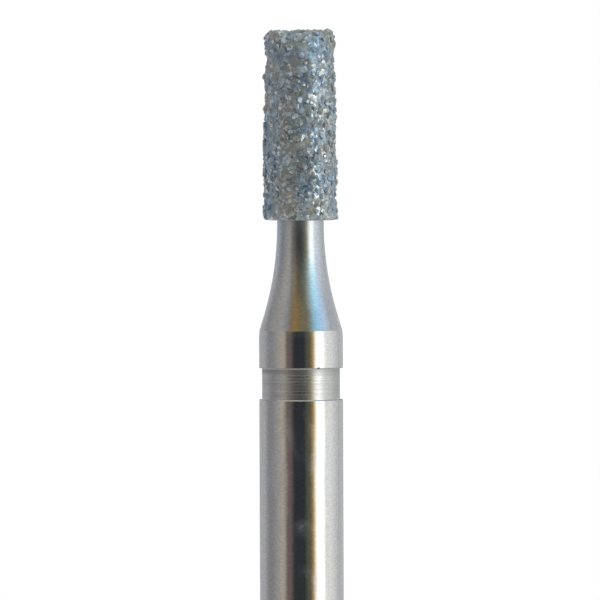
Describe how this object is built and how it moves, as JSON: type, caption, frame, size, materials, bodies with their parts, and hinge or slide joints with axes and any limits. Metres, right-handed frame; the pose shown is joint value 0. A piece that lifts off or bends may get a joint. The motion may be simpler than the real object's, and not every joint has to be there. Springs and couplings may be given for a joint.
{
  "type": "dental bur",
  "caption": "Friction-grip dental bur: smooth round steel shank with a ring groove, flared neck and flat-ended cylindrical head coated with diamond grains.",
  "frame": {"origin": "centre of the flat face at the free end of the shank", "axes": "+Z along the bur's axis, from the shank's free end to the tip of the head; X and Y are alike, because the bur is round"},
  "size_m": [0.0016, 0.0016, 0.019],
  "materials": {
    "ground_steel": "turned and ground stainless steel, bright, with fine round-and-round marks",
    "diamond_grit": "grey diamond grains in matt electroplated nickel, rough and sparkling"
  },
  "bodies": {
    "root": {"steel_blank": "ground_steel", "diamond_layer": "diamond_grit"}
  },
  "joints": []
}
